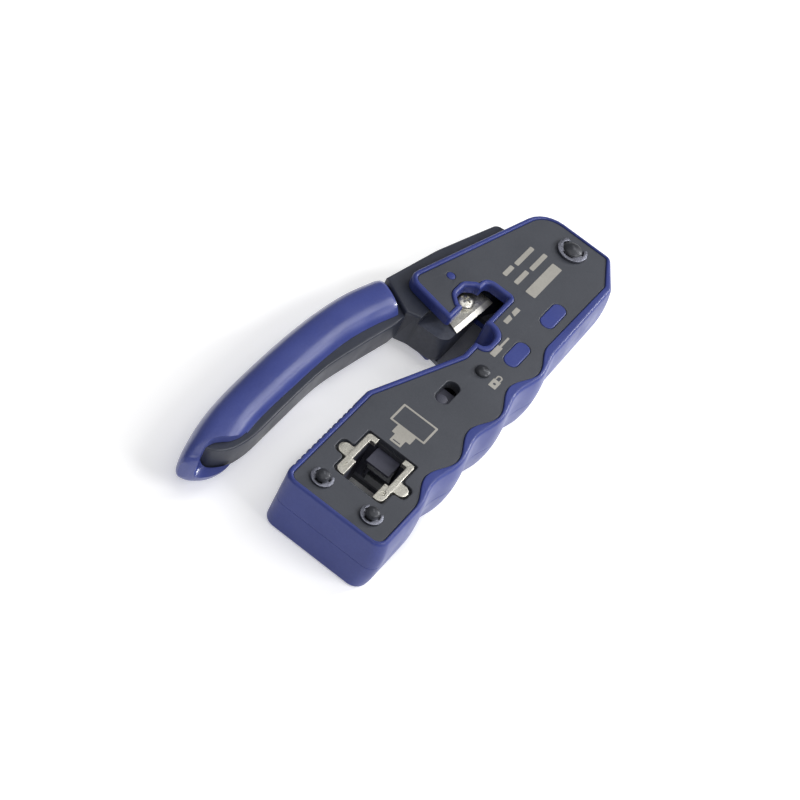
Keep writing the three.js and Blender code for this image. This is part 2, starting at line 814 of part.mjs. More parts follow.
const skin = skinHalf();
const slotHole = prism(obround(LOCK.x, 0, LOCK.x + LOCK.travel, 0, LOCK.slotR), 0, THICKNESS);
const diePinFar = { ...DIE_PIN, y: -DIE_PIN.y };
const CLIP_LOW = PLATE_TOP + GAP;

add("front_overmould", skin, "skin");
add("back_overmould", cut(turnedOver(skin), anvil(GAP)), "skin");
add("front_shell", frontShell(), "shell");
add("back_shell", backShell(), "shell");
add("front_frame_plate", framePlate(FRAME_FRONT, [slotHole]), "black");
add("back_frame_plate", join(framePlate(FRAME_BACK), anvil()), "steel");
add("plug_nest", plugNest(), "black");
add("die_plate_pin1", diePlate(1), "silver");
add("die_plate_pin8", diePlate(-1), "silver");
SPOTS.forEach((spot, i) => {
  const corners = new THREE.Shape(spot).getPoints();
  const centre = corners.reduce((a, p) => a.add(p), new THREE.Vector2()).divideScalar(corners.length);
  const smaller = corners.map((p) => p.clone().lerp(centre, 0.03));
  add(`overmould_island_${i + 1}`, prism(smaller, PLATE_TOP - PLATE, PLATE_TOP + 0.05), "skin");
});
add("die_pin_1", headedPin(DIE_PIN, 2.9, THICKNESS + 2.1, 1.45, CLIP_LOW, 0.6), "black");
add("die_pin_8", headedPin(diePinFar, 2.9, THICKNESS + 2.1, 1.45, CLIP_LOW, 0.6), "black");
add("die_clip_1", gripClip(DIE_PIN, 3.2, 1.5, CLIP_LOW, 0.6), "black");
add("die_clip_8", gripClip(diePinFar, 3.2, 1.5, CLIP_LOW, 0.6), "black");
add("pivot_pin", headedPin(PIVOT, 4.4, THICKNESS + 1.5, 2.3, CLIP_LOW, 0.8), "black");
add("pivot_clip", gripClip(PIVOT, 4.65, 2.35, CLIP_LOW, 0.8), "black");
add("cover_screw", domedScrew(), "black");
add("handle_arm", handleArm(), "arm");
add("grip_sleeve", gripSleeve(), "skin");
add("cutting_blade", cuttingBlade(), "silver");
add("blade_screw", panHeadScrew(BLADE_SCREW, BLADE.low + BLADE.thick + 0.02, 5), "silver");
add("crank_pin", crankPin(), "steel");
add("drive_link", driveLink(), "steel");
add("bar_pin", barPin(), "steel");
add("drive_bar", driveBar(), "steel");
add("punch_block", punchBlock(), "black");
add("trimming_blade", trimmingBlade(), "black");
add("contact_comb", contactComb(), "steel");
add("cord_presser", cordPresser(), "steel");
add("return_spring", returnSpring(), "steel");
add("lock_slider", lockSlider(), "black");

const box = new THREE.Box3().setFromObject(tool);
const centre = box.getCenter(new THREE.Vector3());
tool.position.set(-centre.x, -centre.y, -box.min.z);

export default tool;
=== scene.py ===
import cmath
import math

import bmesh
import bpy
from mathutils import Matrix, Vector
from mathutils.geometry import tessellate_polygon


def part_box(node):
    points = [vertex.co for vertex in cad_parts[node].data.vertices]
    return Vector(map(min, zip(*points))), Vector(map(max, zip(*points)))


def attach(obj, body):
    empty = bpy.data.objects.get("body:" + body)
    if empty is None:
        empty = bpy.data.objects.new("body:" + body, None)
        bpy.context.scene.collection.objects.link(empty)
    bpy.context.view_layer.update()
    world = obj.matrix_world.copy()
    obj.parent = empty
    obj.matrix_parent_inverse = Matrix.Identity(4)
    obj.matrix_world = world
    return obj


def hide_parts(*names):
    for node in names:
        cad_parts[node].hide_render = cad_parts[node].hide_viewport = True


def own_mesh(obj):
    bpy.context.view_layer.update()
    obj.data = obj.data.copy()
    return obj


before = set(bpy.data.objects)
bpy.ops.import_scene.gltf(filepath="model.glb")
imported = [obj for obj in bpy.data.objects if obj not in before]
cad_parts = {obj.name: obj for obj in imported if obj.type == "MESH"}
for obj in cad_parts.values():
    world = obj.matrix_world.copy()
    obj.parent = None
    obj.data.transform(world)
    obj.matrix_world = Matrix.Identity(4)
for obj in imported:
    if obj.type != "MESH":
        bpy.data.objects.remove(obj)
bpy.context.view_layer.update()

# Shapes are written in millimetres in the tool's own frame: X = Y = 0 is the pocket's middle and
# Z = 0 the back face. place() moves them to the row frame.
MM = 0.001
THICKNESS = 19.6
MID = THICKNESS / 2
PLATE_TOP = THICKNESS - 0.4
PIVOT = (111.8, 2.6)
DIE_PIN = (-16.0, 8.0)
COVER_SCREW = (49.9, -3.0)
BLADE_SCREW = (72.8, 15.4)
LOCK_X, LOCK_TRAVEL, LOCK_SLOT = 33.0, 5.2, 2.2

pin_low, pin_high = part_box("pivot_pin")
SHIFT = (pin_low + pin_high) / 2 - Vector((PIVOT[0], PIVOT[1], 0)) * MM
SHIFT.z = 0


# ---------------------------------------------------------------- outlines

def edges_of(corners):
    at = [complex(x, y) for x, y, _ in corners]
    return at, [at[(i + 1) % len(at)] - p for i, p in enumerate(at)]


def arc_counts(corners, per_quarter=7):
    """Steps along each corner's fillet; a corner without a radius is one point."""
    _, edges = edges_of(corners)
    counts = []
    for i, corner in enumerate(corners):
        turn = abs(cmath.phase(edges[i] / edges[i - 1]))
        counts.append(max(3, round(per_quarter * turn / (math.pi / 2))) if corner[2] else 0)
    return counts


def filleted(corners, counts=None):
    """Points of an outline whose corners are (x, y, fillet radius), listed anticlockwise."""
    at, edges = edges_of(corners)
    counts = counts or arc_counts(corners)
    turns = [cmath.phase(e / edges[i - 1]) for i, e in enumerate(edges)]
    wanted = [c[2] * math.tan(abs(t) / 2) for c, t in zip(corners, turns)]
    share = []
    for i, edge in enumerate(edges):
        both = wanted[i] + wanted[(i + 1) % len(edges)]
        share.append(min(1, 0.98 * abs(edge) / both) if both else 1)
    points = []
    for i, count in enumerate(counts):
        if not count:
            points.append(at[i])
            continue
        reach = max(0.002, wanted[i] * min(share[i], share[i - 1]))
        ahead = edges[i - 1] / abs(edges[i - 1])
        start = at[i] - ahead * reach
        radius = math.copysign(reach / math.tan(abs(turns[i]) / 2), turns[i])
        centre = start + ahead * 1j * radius
        points += [centre + (start - centre) * cmath.rect(1, turns[i] * k / count) for k in range(count + 1)]
    return points


def inset(corners, distance):
    """The same corners with every edge moved inwards; fillets stay concentric."""
    at, edges = edges_of(corners)
    moved = []
    for i, (_, _, radius) in enumerate(corners):
        before = edges[i - 1] / abs(edges[i - 1])
        after = edges[i] / abs(edges[i])
        turn = before.conjugate() * after
        p = at[i] + 1j * (before + after) * distance / (1 + turn.real)
        if radius:
            radius = max(0.1, radius - math.copysign(distance, turn.imag))
        moved.append((p.real, p.imag, radius))
    return moved


def circle(x, y, r, count=48):
    turn = [cmath.rect(r, 2 * math.pi * i / count) for i in range(count)]
    return [(x + p.real, y + p.imag, 0) for p in turn]


def rectangle(x0, y0, x1, y1, r=0.3):
    return [(x0, y0, r), (x1, y0, r), (x1, y1, r), (x0, y1, r)]


def obround(x0, x1, y, r):
    return rectangle(x0 - r, y - r, x1 + r, y + r, r)


def mirrored(corners):
    return [(x, -y, r) for x, y, r in reversed(corners)]


def wave(crest, valley):
    """Finger side: three and a half scallops from the pocket end."""
    pitch, steps = 22.4, 112
    corners = []
    for i in range(steps + 1):
        x = 40 - 2 * pitch + i * 3.5 * pitch / steps
        swing = math.cos(2 * math.pi * (x - 40) / pitch)
        corners.append((x, (crest + valley) / 2 + (crest - valley) / 2 * swing, 0))
    return corners


NOTCH = [
    (58.6, 13.7, 1), (66, 13.7, 0.6), (66, 15.2, 1), (68.4, 17.6, 2), (73.4, 17.6, 2), (75.8, 15.2, 1.5),
    (75.8, 13.7, 0.6), (80.1, 13.7, 1.8), (80.1, 6.1, 0.6), (66.3, 6.1, 0.5), (66.3, 1, 4.1), (57.7, 1, 2.8),
    (57.7, 4.3, 0.6), (50.7, 4.3, 4),
]


def body_corners(bulge):
    """Whole body at one level; bulge 0 is the rim, 1 the widest line at mid thickness."""
    crest = -16.1 - 1.1 * bulge
    return [
        (-23.1, crest, 3.8),
        *wave(crest, -14.4 - 0.9 * bulge),
        (108.4, -13.8 - 1.1 * bulge, 3), (119.6, -7.2 - 0.8 * bulge, 2.6), (119.6, 17.1, 9.5),
        (62.4, 31.6, 4.2),
        *NOTCH,
        (18.2, 15.9, 3), (-23.1, 15.9, 3.8),
    ]


def plate_corners():
    """The face plate, inside the rim."""
    inside = inset(body_corners(0), 1.6)[1 + len(wave(0, 0)):-1]
    x, _, r = inside[0]
    inside[0] = (x, -11.7, r)
    for i in (1, 2):
        inside[i] = (118.4, *inside[i][1:])
    return [(-21.9, -14.8, 2.6), *wave(-14.8, -11.3), *inside, (-21.9, 14.3, 2.4)]


CAVITY = [
    (-20.5, -13.4, 2), *wave(-13.4, -9.9), (107.4, -10.2, 2), (117, -4.3, 2), (117, 14.8, 6), (65.4, 28.3, 2),
    (62.6, 16.8, 0.5), (64, 16.8, 1), (67.1, 20.7, 1), (74.9, 20.7, 1), (78.5, 16.7, 1), (83.2, 16.7, 2),
    (83.2, 3.2, 1), (69.2, 3.2, 0.5), (69.2, -1.9, 3), (54.9, -1.9, 2), (54.9, 1.4, 0.5), (50, 1.4, 3),
    (17.6, 12.9, 2), (-20.5, 12.9, 2),
]

DIE_PLATE = [
    (-10.4, 4.65, 0.3), (-4, 4.65, 0.3), (-4, 5.9, 0.3), (4.95, 5.9, 0.3), (4.95, 4.25, 0.3), (7, 4.25, 0.4),
    (7, 7.7, 1.1), (-0.45, 7.7, 0.5), (-0.45, 11.2, 2.1), (-4.75, 11.2, 2.1), (-4.75, 7.7, 0.5),
    (-10.4, 7.7, 1.9),
]


def plug_opening(grow):
    half = [(7, 5.9, 0.4), (-4, 5.9, 0.4), (-4, 4.7, 0.4), (-10.4, 4.7, 0.4)]
    return inset([*mirrored(half), *half], -grow)


def face_opening():
    """One opening in the face plate for both die plates and the plug."""
    half = inset(DIE_PLATE, -0.45)[6:]
    return [*mirrored(half), *half]


# ---------------------------------------------------------------- solids

def at_level(points, z):
    return [Vector((p.real, p.imag, z)) for p in points]


def skinned(name, loops, closed_round=False):
    """Mesh through rings: loops[k][j] is ring j of loop k. Ends are capped, or joined if closed_round."""
    mesh = bmesh.new()
    made = [[[mesh.verts.new(p) for p in ring] for ring in rings] for rings in loops]
    for rings in made:
        pairs = list(zip(rings, rings[1:])) + ([(rings[-1], rings[0])] if closed_round else [])
        count = len(rings[0])
        for low, high in pairs:
            for i in range(count):
                j = (i + 1) % count
                mesh.faces.new((low[i], low[j], high[j], high[i]))
    if not closed_round:
        for end in (0, -1):
            verts = [v for rings in made for v in rings[end]]
            for triangle in tessellate_polygon([[v.co for v in rings[end]] for rings in made]):
                mesh.faces.new([verts[k] for k in triangle])
    bmesh.ops.recalc_face_normals(mesh, faces=mesh.faces)
    data = bpy.data.meshes.new(name)
    mesh.to_mesh(data)
    mesh.free()
    obj = bpy.data.objects.new(name, data)
    bpy.context.scene.collection.objects.link(obj)
    return obj


def rounded_levels(low, top, bevel_low, bevel_top, segments=3):
    """(height, inset) pairs up a wall whose two edges are rounded."""
    levels = []
    for k in range(segments, -1, -1) if bevel_low else [0]:
        a = math.pi / 2 * k / segments
        levels.append((low + bevel_low * (1 - math.sin(a)), bevel_low * (1 - math.cos(a))))
    for k in range(0, segments + 1) if bevel_top else [0]:
        a = math.pi / 2 * k / segments
        levels.append((top - bevel_top * (1 - math.sin(a)), bevel_top * (1 - math.cos(a))))
    return levels


def slab(name, outline, low, top, bevel=0.0, holes=(), foot=None, segments=3):
    """Flat piece with rounded edges and holes, from corner lists."""
    foot = bevel if foot is None else foot
    levels = rounded_levels(low, top, foot, bevel, segments)
    loops = []
    for side, corners in [(1, outline), *[(-1, hole) for hole in holes]]:
        counts = arc_counts(corners)
        loops.append([at_level(filleted(inset(corners, side * d), counts), z) for z, d in levels])
    return skinned(name, loops)


def turned(name, x, y, profile, count=64):
    """Body of revolution about a vertical line, from (radius, height) pairs off the axis."""
    rings = []
    for r, z in profile:
        turn = [cmath.rect(max(r, 0.004), 2 * math.pi * i / count) for i in range(count)]
        rings.append([Vector((x + p.real, y + p.imag, z)) for p in turn])
    return skinned(name, [rings])


def dome(r, low, height, segments=8):
    """Profile of a domed end, from its rim to the axis."""
    steps = [math.pi / 2 * k / segments for k in range(segments + 1)]
    return [(r * math.cos(a), low + height * math.sin(a)) for a in steps]


def bake(obj):
    """Apply every modifier."""
    graph = bpy.context.evaluated_depsgraph_get()
    data = bpy.data.meshes.new_from_object(obj.evaluated_get(graph))
    obj.modifiers.clear()
    obj.data = data


def combined(obj, operation, tools):
    for tool in tools:
        step = obj.modifiers.new("step", "BOOLEAN")
        step.operation = operation
        step.solver = "EXACT"
        step.object = tool
    bpy.context.view_layer.update()
    bake(obj)
    for tool in tools:
        bpy.data.objects.remove(tool)
    return obj


def carved(obj, *tools):
    return combined(obj, "DIFFERENCE", tools)


def joined(obj, *others):
    """One object out of several that touch but don't share room."""
    mesh = bmesh.new()
    for source in (obj, *others):
        mesh.from_mesh(source.data)
    mesh.to_mesh(obj.data)
    mesh.free()
    for other in others:
        bpy.data.objects.remove(other)
    return obj


def flipped(obj):
    """The mirror image through mid thickness, for the back half."""
    obj.data.transform(Matrix.Translation((0, 0, THICKNESS)) @ Matrix.Scale(-1, 4, (0, 0, 1)))
    obj.data.flip_normals()
    return obj


def place(obj, body, slot, material, nodes=(), sharp=32, weighted=True):
    """Last step of every piece: row frame, smooth shading, material, and what it rides on and stands for."""
    obj.data.transform(Matrix.Translation(SHIFT) @ Matrix.Scale(MM, 4))
    obj.data.shade_smooth()
    obj.data.set_sharp_from_angle(angle=math.radians(sharp))
    if weighted:
        step = obj.modifiers.new("normals", "WEIGHTED_NORMAL")
        step.keep_sharp = True
        step.weight = 100
        bpy.context.view_layer.update()
        bake(obj)
    obj.data.materials.clear()
    obj.data.materials.append(material)
    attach(obj, body)
    if nodes:
        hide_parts(*nodes)
    return obj


# ---------------------------------------------------------------- materials

def linear(rgb):
    """Shader colour from an 8-bit screen colour."""
    return [((c / 255 + 0.055) / 1.055) ** 2.4 if c > 10 else c / 255 / 12.92 for c in rgb] + [1]


class Look:
    """A node material with helpers for noise, ramps and bump. Scales are features per metre."""

    def __init__(self, name):
        self.material = bpy.data.materials.new(name)
        self.material.use_nodes = True
        self.nodes = self.material.node_tree.nodes
        self.links = self.material.node_tree.links
        self.shader = self.nodes["Principled BSDF"]
        self.place = self.nodes.new("ShaderNodeTexCoord").outputs["Object"]

    def noise(self, scale, detail=3, stretch=(1, 1, 1)):
        mapping = self.nodes.new("ShaderNodeMapping")
        mapping.inputs["Scale"].default_value = stretch
        self.links.new(self.place, mapping.inputs["Vector"])
        node = self.nodes.new("ShaderNodeTexNoise")
        node.inputs["Scale"].default_value = scale
        node.inputs["Detail"].default_value = detail
        self.links.new(mapping.outputs["Vector"], node.inputs["Vector"])
        return node.outputs["Fac"]

    def ramp(self, value, low, high, at=(0.35, 0.65)):
        node = self.nodes.new("ShaderNodeValToRGB")
        for element, place, colour in zip(node.color_ramp.elements, at, (low, high)):
            element.position = place
            element.color = colour
        self.links.new(value, node.inputs["Fac"])
        return node.outputs["Color"]

    def blend(self, factor, first, second):
        node = self.nodes.new("ShaderNodeMix")
        node.data_type = "RGBA"
        for socket, value in zip((node.inputs[0], node.inputs[6], node.inputs[7]), (factor, first, second)):
            if isinstance(value, (list, tuple, float)):
                socket.default_value = value
            else:
                self.links.new(value, socket)
        return node.outputs[2]

    def edges(self):
        """White along convex edges, broken up by noise."""
        geometry = self.nodes.new("ShaderNodeNewGeometry")
        node = self.nodes.new("ShaderNodeMapRange")
        node.inputs["From Min"].default_value = 0.52
        node.inputs["From Max"].default_value = 0.6
        self.links.new(geometry.outputs["Pointiness"], node.inputs["Value"])
        broken = self.nodes.new("ShaderNodeMath")
        broken.operation = "MULTIPLY"
        self.links.new(node.outputs["Result"], broken.inputs[0])
        self.links.new(self.noise(900, 4), broken.inputs[1])
        return broken.outputs["Value"]

    def relief(self, *layers):
        """Bump from (value, distance in metres, strength) layers."""
        normal = None
        for value, distance, strength in layers:
            node = self.nodes.new("ShaderNodeBump")
            node.inputs["Distance"].default_value = distance
            node.inputs["Strength"].default_value = strength
            self.links.new(value, node.inputs["Height"])
            if normal:
                self.links.new(normal, node.inputs["Normal"])
            normal = node.outputs["Normal"]
        self.links.new(normal, self.shader.inputs["Normal"])

    def finish(self, colour, roughness, metallic=0.0, **extra):
        self.links.new(colour, self.shader.inputs["Base Color"])
        self.links.new(roughness, self.shader.inputs["Roughness"])
        self.shader.inputs["Metallic"].default_value = metallic
        for name, value in extra.items():
            self.shader.inputs[name.replace("_", " ")].default_value = value
        return self.material


def grey(value):
    return (value, value, value, 1)


def moulded(name, dark, light, rough, grain=2600, depth=0.00002, strength=0.35, worn=None, **extra):
    """Moulded plastic or rubber: slow colour drift, fine grain and polished or scuffed edges."""
    look = Look(name)
    drift = look.ramp(look.noise(45, 4), linear(dark), linear(light))
    fine = look.noise(grain, 2)
    speck = look.ramp(look.noise(1500, 5), linear(dark), linear(light), (0.3, 0.7))
    colour = look.blend(0.35, drift, speck)
    if worn:
        colour = look.blend(look.edges(), colour, linear(worn))
    roughness = look.ramp(look.noise(160, 5), grey(rough - 0.05), grey(rough + 0.06))
    look.relief((look.noise(110, 3), 0.00006, 0.12), (fine, depth, strength))
    return look.finish(colour, roughness, **extra)


def metal(name, dark, light, rough, brush=(1, 1, 1), scale=1800, strength=0.25, spots=None):
    """Bare metal: brushed or blasted grain and faint stains."""
    look = Look(name)
    grain = look.noise(scale, 6, brush)
    colour = look.ramp(grain, linear(dark), linear(light), (0.3, 0.6))
    stain = look.ramp(look.noise(120, 5), grey(0), grey(0.5), (0.5, 0.8))
    colour = look.blend(stain, colour, linear(dark))
    if spots:
        specks = look.ramp(look.noise(5200, 2), grey(0), grey(0.75), (0.56, 0.7))
        colour = look.blend(specks, colour, linear(spots))
    roughness = look.ramp(look.noise(scale * 0.7, 4, brush), grey(rough - 0.07), grey(rough + 0.09))
    look.relief((grain, 0.00001, strength))
    return look.finish(colour, roughness, 1.0)


SKIN = moulded("blue_overmould", (52, 62, 126), (62, 73, 140), 0.36, grain=3400, depth=0.000012,
               strength=0.2, Specular_IOR_Level=0.32)
GRIP = moulded("blue_grip_sleeve", (58, 68, 132), (68, 79, 147), 0.33, grain=2600, depth=0.00003,
               strength=0.5, Coat_Weight=0.3, Coat_Roughness=0.14)
SHELL = moulded("dark_grey_moulding", (58, 61, 69), (68, 71, 79), 0.5, grain=2300, depth=0.00003,
                strength=0.55)
ARM = moulded("grey_arm_moulding", (41, 45, 57), (52, 56, 69), 0.4, grain=2600, depth=0.00002, strength=0.4,
              worn=(92, 96, 108))
STEEL = metal("stamped_steel", (120, 122, 126), (178, 180, 184), 0.34, (1, 14, 1))
SILVER = metal("satin_silver", (196, 194, 186), (232, 230, 222), 0.36, scale=2400, strength=0.4,
               spots=(120, 118, 112))
DIE = metal("tumbled_silver", (190, 188, 179), (222, 219, 209), 0.42, scale=2400, strength=0.4,
            spots=(112, 110, 104))
NEST = moulded("dark_nest", (58, 59, 72), (72, 73, 88), 0.5, grain=2600, strength=0.3)
PRIMED = moulded("primed_steel", (92, 94, 104), (112, 114, 124), 0.55, grain=2600, strength=0.3)
BLACK = moulded("blackened_steel", (44, 46, 52), (60, 62, 68), 0.38, grain=3000, strength=0.35,
                worn=(110, 112, 118), metallic=0.3)
SPRING_STEEL = metal("blued_spring_steel", (112, 114, 126), (150, 152, 164), 0.42, scale=2600, strength=0.35)
# Ground bevel of the cutting blade: a real ground finish, made lighter than the blade to paint the highlight
# the bevel catches.
BEVEL_PAINTED_HIGHLIGHT = metal("ground_edge_painted_highlight", (214, 212, 204), (236, 234, 228), 0.42, (1, 16, 1), 2200, 0.15)
PRINT = moulded("pale_print", (150, 147, 140), (174, 171, 164), 0.55, grain=5000, strength=0.3)

# ---------------------------------------------------------------- body halves

def overmould(name):
    """Soft ring of one half: barrel wall outside, rounded rim, and the plate's edge inside."""
    barrel, lip, seam_depth, seam_height = 9.4, 0.9, 0.07, 0.2

    def bulge(t):
        return max(0.0, 1 - (t / barrel) ** 2.2)

    counts = arc_counts(body_corners(0))
    rings = []
    for t in (0.01, 0.1, 0.2, 1.4, 2.8, 4.2, 5.6, 6.8, 7.8, 8.4, MID - lip):
        seam = seam_depth * max(0.0, 1 - t / seam_height)
        rings.append(at_level(filleted(inset(body_corners(bulge(t)), seam), counts), MID + t))
    for k in range(1, 7):
        a = math.pi / 2 * k / 6
        t = MID - lip + lip * math.sin(a)
        corners = inset(body_corners(bulge(t)), lip * (1 - math.cos(a)))
        rings.append(at_level(filleted(corners, counts), MID + t))
    for k in range(5):
        a = math.pi / 2 * k / 4
        corners = inset(plate_corners(), -0.4 * (1 - math.sin(a)))
        rings.append(at_level(filleted(corners, counts), THICKNESS - 0.4 * (1 - math.cos(a))))
    rings.append(at_level(filleted(plate_corners(), counts), MID + 0.05))
    return skinned(name, [rings], closed_round=True)


def arm_window(grow=0.0):
    """Room for the handle's arm through the wall on the handle side."""
    outline = [(51.5, 5.4 - grow, 0), (58, 5.4 - grow, 0), (58, 6.4 - grow, 0), (80, 6.4 - grow, 0),
               (107.5, 6.4, 0), (107.5, 40, 0), (51.5, 40, 0)]
    return slab("window", outline, 3.3, 16.3)


def grip_grooves():
    """Twelve grooves down the wall that faces the handle."""
    pitch = 2.5
    grooves = []
    for i in range(12):
        x = -17.2 + pitch * i
        outline = [(x - 1.15, 16.4, 0), (x - 0.5, 15.2, 0.3), (x + 0.5, 15.2, 0.3), (x + 1.15, 16.4, 0)]
        grooves.append(slab("groove", outline, MID + 1, THICKNESS + 1))
    return grooves


def anvil_slot():
    """Room for the part of the back frame plate that closes the notch, seen from the front half."""
    outline = [(57, 0, 0.5), (80.6, 0, 0.5), (80.6, 18.3, 2), (64, 18.3, 2), (59, 14.4, 0.5), (57, 4, 0.5)]
    return slab("anvil_slot", inset(outline, -0.1), THICKNESS - 3.0, THICKNESS - 1.6)


for half, finish in (("front", lambda obj: obj), ("back", flipped)):
    ring = carved(overmould(f"{half}_overmould_detail"), arm_window(), *grip_grooves())
    if half == "back":
        ring = carved(ring, anvil_slot())
    place(finish(ring), "body", "skin", SKIN, [f"{half}_overmould"])

face_holes = [
    face_opening(),
    obround(LOCK_X, LOCK_X + LOCK_TRAVEL, 0, LOCK_SLOT),
    circle(DIE_PIN[0], DIE_PIN[1], 1.95),
    circle(DIE_PIN[0], -DIE_PIN[1], 1.95),
    circle(*COVER_SCREW, 1.3),
    circle(*PIVOT, 3.1),
    obround(81.6, 88.2, -6.55, 2.4),
    obround(60.4, 66.7, -6.6, 2.4),
    circle(73.2, 22.6, 1.4),
]
back_holes = [plug_opening(0.3), circle(DIE_PIN[0], DIE_PIN[1], 3.1), circle(DIE_PIN[0], -DIE_PIN[1], 3.1),
              circle(*PIVOT, 4.6)]
for half, top, holes, finish in (("front", PLATE_TOP, face_holes, lambda obj: obj),
                                 ("back", THICKNESS, back_holes, flipped)):
    edge = inset(plate_corners(), 0.05)
    plate = slab(f"{half}_shell_detail", edge, top - 1.6, top, 0.22, holes, foot=0)
    walls = slab("walls", edge, MID + 0.05, top - 1.6, holes=[CAVITY])
    tools = [arm_window(1.2)] + ([anvil_slot()] if half == "back" else [])
    shell = joined(plate, carved(walls, *tools))
    place(finish(shell), "body", "shell", SHELL, [f"{half}_shell"])

for i, outline in enumerate([obround(81.6, 88.2, -6.55, 2.33), obround(60.4, 66.7, -6.6, 2.33),
                             circle(73.2, 22.6, 1.36)]):
    island = slab(f"overmould_island_detail_{i + 1}", outline, 17.6, PLATE_TOP + 0.05, 0.3, foot=0)
    place(island, "body", "skin", SKIN, [f"overmould_island_{i + 1}"])

# ---------------------------------------------------------------- pocket

def digit(text, x, y, size, low, top):
    """A stamped digit as a solid; its top points to the pivot end."""
    curve = bpy.data.curves.new("digit", "FONT")
    curve.body = text
    curve.size = size
    curve.extrude = (top - low) / 2
    curve.align_x = curve.align_y = "CENTER"
    glyph = bpy.data.objects.new("digit", curve)
    bpy.context.scene.collection.objects.link(glyph)
    bpy.context.view_layer.update()
    graph = bpy.context.evaluated_depsgraph_get()
    data = bpy.data.meshes.new_from_object(glyph.evaluated_get(graph))
    bpy.data.objects.remove(glyph)
    solid = bmesh.new()
    solid.from_mesh(data)
    bmesh.ops.remove_doubles(solid, verts=solid.verts, dist=1e-4)
    solid.to_mesh(data)
    solid.free()
    data.transform(Matrix.Translation((x, y, (low + top) / 2)) @ Matrix.Rotation(math.radians(-90), 4, "Z"))
    obj = bpy.data.objects.new("digit", data)
    bpy.context.scene.collection.objects.link(obj)
    return obj


for side, number in ((1, "1"), (-1, "8")):
    corners = inset(DIE_PLATE, 0.05)
    outline = corners if side > 0 else mirrored(corners)
    die = slab(f"die_plate_detail_{number}", outline, 17.6, PLATE_TOP - 0.15, 0.18)
    die = carved(die, digit(number, -7.3, side * 6.25, 2.9, PLATE_TOP - 0.45, PLATE_TOP + 0.5))
    place(die, "body", "silver", DIE, [f"die_plate_pin{number}"])

trimmer = slab("trimming_blade_detail", rectangle(1.2, -3.75, 8.6, 3.75, 0.3), 15.2, 15.9, 0.08)
place(trimmer, "ram", "black", NEST, ["trimming_blade"])

lock = joined(
    slab("lock_slider_detail", rectangle(LOCK_X - 3.4, -2.6, LOCK_X + 6, 2.6, 0.6), 13, 16.1, 0.2),
    turned("stem", LOCK_X, 0, [(1.8, 16.12), (1.8, 18.3), *dome(1.7, 18.3, 0.4)]),
)
place(lock, "lock", "black", NEST, ["lock_slider"])


def return_spring():
    """Coil between the nest and the drive bar."""
    x0, x1, y, z, r, wire, turns = 10.8, 24, 6.4, 6.35, 1.7, 0.34, 7
    steps = turns * 24
    rings = []
    for i in range(steps + 1):
        a = 2 * math.pi * turns * i / steps
        out = Vector((0, math.cos(a), math.sin(a)))
        centre = Vector((x0 + wire + (x1 - x0 - 2 * wire) * i / steps, y, z)) + r * out
        corners = [2 * math.pi * k / 8 for k in range(8)]
        rings.append([centre + wire * (math.cos(b) * out + math.sin(b) * Vector((1, 0, 0))) for b in corners])
    spring = skinned("return_spring_detail", [rings])
    place(spring, "body", "steel", STEEL, ["return_spring"], sharp=60, weighted=False)
    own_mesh(spring)


return_spring()

# ---------------------------------------------------------------- pins and clips

CLIP_LOW = PLATE_TOP + 0.1
CLIP_PLAY = 0.05
DIE_CLIP, PIVOT_CLIP = 0.6, 0.8


def headed_pin(name, x, y, r, head, groove, clip, top):
    """Pin with a flat head at the back, a groove for a clip of the given thickness, and a domed end."""
    low, high = CLIP_LOW - CLIP_PLAY, CLIP_LOW + clip + CLIP_PLAY
    crown = r * 0.4
    return turned(name, x, y, [
        (head - 0.15, 0.3), (head, 0.45), (head, 1.6), (r, 1.6),
        (r, low), (groove, low), (groove, high), (r, high), *dome(r, top - crown, crown),
    ])


def grip_clip(name, x, y, outer, inner, thick):
    """Spring clip: a C with three inward lugs and its mouth towards the pivot end."""
    mouth, steps = 0.8, 72
    ring, bore = [], []
    for i in range(steps + 1):
        a = mouth + (2 * math.pi - 2 * mouth) * i / steps
        lug = max(0.0, math.cos(3 * a)) ** 0.35 if math.cos(3 * a) > 0 else 0.0
        ring.append((x + outer * math.cos(a), y + outer * math.sin(a), 0))
        r = inner + (outer - inner) * 0.5 * (1 - lug)
        bore.append((x + r * math.cos(a), y + r * math.sin(a), 0))
    return slab(name, [*ring, *reversed(bore)], CLIP_LOW, CLIP_LOW + thick, 0.1)


for number, side in ((1, 1), (8, -1)):
    at = DIE_PIN[0], side * DIE_PIN[1]
    pin = headed_pin(f"die_pin_detail_{number}", *at, 1.85, 2.9, 1.45, DIE_CLIP, 21.7)
    place(pin, "body", "black", BLACK, [f"die_pin_{number}"])
    clip = grip_clip(f"die_clip_detail_{number}", *at, 3.2, 1.5, DIE_CLIP)
    place(clip, "body", "black", SPRING_STEEL, [f"die_clip_{number}"])
pin = headed_pin("pivot_pin_detail", *PIVOT, 3, 4.4, 2.3, PIVOT_CLIP, 21.1)
place(pin, "body", "black", BLACK, ["pivot_pin"])
clip = grip_clip("pivot_clip_detail", *PIVOT, 4.65, 2.35, PIVOT_CLIP)
place(clip, "body", "black", SPRING_STEEL, ["pivot_clip"])

screw = turned("cover_screw_detail", *COVER_SCREW, [
    (1.2, 3.3), (1.2, PLATE_TOP + 0.1), (2.2, PLATE_TOP + 0.1), *dome(2.2, PLATE_TOP + 0.3, 0.95),
])
place(screw, "body", "black", BLACK, ["cover_screw"])

# ---------------------------------------------------------------- handle

